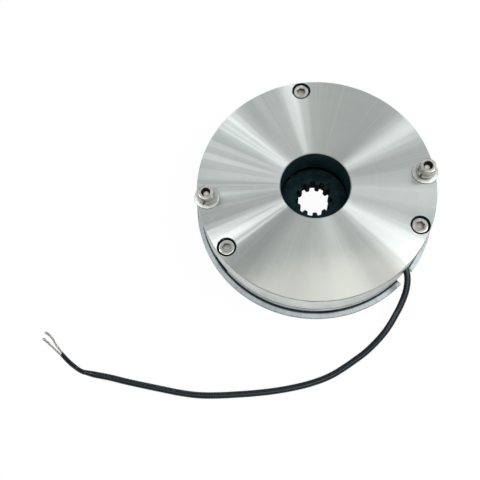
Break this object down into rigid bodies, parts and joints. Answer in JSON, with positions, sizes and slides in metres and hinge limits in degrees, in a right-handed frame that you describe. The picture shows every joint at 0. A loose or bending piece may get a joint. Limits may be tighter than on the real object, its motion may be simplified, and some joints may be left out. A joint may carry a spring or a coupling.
{
  "type": "electromagnetic motor brake",
  "caption": "Spring-applied electromagnetic disc brake with turned magnet body, splined rotor hub, mounting flange, hand-release screws and two-core lead.",
  "frame": {"origin": "on the shaft axis at the flange's mounting side, the bottom centre of the brake without its lead", "axes": "+Z along the shaft axis from the flange to the magnet body's front face, +X towards the release screw that stands higher"},
  "size_m": [0.2647, 0.2004, 0.044],
  "materials": {
    "turned_steel": "face turned, satin",
    "armature_steel": "ground",
    "zinc_plated": "bluish zinc plate",
    "black_steel": "black oxide, satin",
    "rotor_steel": "ground",
    "lining": "pressed friction lining",
    "stainless": "polished stainless",
    "sleeve_steel": "turned",
    "spring_steel": "drawn wire",
    "copper": "enamelled wire",
    "bobbin_nylon": "moulded",
    "resin": "cast",
    "lead_insulation": "smooth",
    "black_rubber": "moulded",
    "black_sleeve": "satin",
    "tinned_copper": "tinned strands"
  },
  "bodies": {
    "brake_body": {"magnet_body": "turned_steel", "coil_bobbin": "bobbin_nylon", "coil_winding": "copper", "coil_potting": "resin", "coil_leads": "lead_insulation", "pressure_springs": "spring_steel", "flange_plate": "zinc_plated", "mounting_screws": "stainless", "spacer_sleeves": "sleeve_steel", "flat_washer_left": "stainless", "flat_washer_right": "stainless", "cord_grommet": "black_rubber", "cord_sleeve": "black_sleeve", "cord_wires": "black_sleeve", "cord_strands": "tinned_copper"},
    "armature": {"armature_plate": "armature_steel"},
    "rotor": {"rotor_hub": "black_steel", "rotor_disc": "rotor_steel", "lining_upper": "lining", "lining_lower": "lining", "hub_rivets": "sleeve_steel"},
    "left_lock_washer": {"lock_washer_left": "stainless"},
    "left_release_screw": {"release_screw_left": "stainless"},
    "right_lock_washer": {"lock_washer_right": "stainless"},
    "right_release_screw": {"release_screw_right": "stainless"}
  },
  "joints": [
    {"name": "armature_slide", "type": "slide", "parent": "brake_body", "child": "armature", "axis": [0, 0, 1], "range_m": [0, 0.00035], "stiffness_N_per_m": 3000, "springref_m": -0.003, "deforming": ["pressure_springs"]},
    {"name": "rotor_spin", "type": "hinge", "parent": "brake_body", "child": "rotor", "pos_m": [0, 0, 0.006], "axis": [0, 0, 1], "continuous": true},
    {"name": "left_release_travel", "type": "slide", "parent": "armature", "child": "left_lock_washer", "axis": [0, 0, 1], "range_m": [-0.00025, 0.003]},
    {"name": "left_release_turn", "type": "hinge", "parent": "left_lock_washer", "child": "left_release_screw", "pos_m": [-0.0685, 0, 0.037], "axis": [0, 0, 1], "range_deg": [-91, 1081]},
    {"name": "right_release_travel", "type": "slide", "parent": "armature", "child": "right_lock_washer", "axis": [0, 0, 1], "range_m": [-0.0015, 0.002]},
    {"name": "right_release_turn", "type": "hinge", "parent": "right_lock_washer", "child": "right_release_screw", "pos_m": [0.0685, 0, 0.038], "axis": [0, 0, 1], "range_deg": [-541, 721]}
  ],
  "couplings": [
    {"joint": "left_release_turn", "follows": "left_release_travel", "rad_per_m": 6283.2},
    {"joint": "right_release_turn", "follows": "right_release_travel", "rad_per_m": 6283.2}
  ]
}
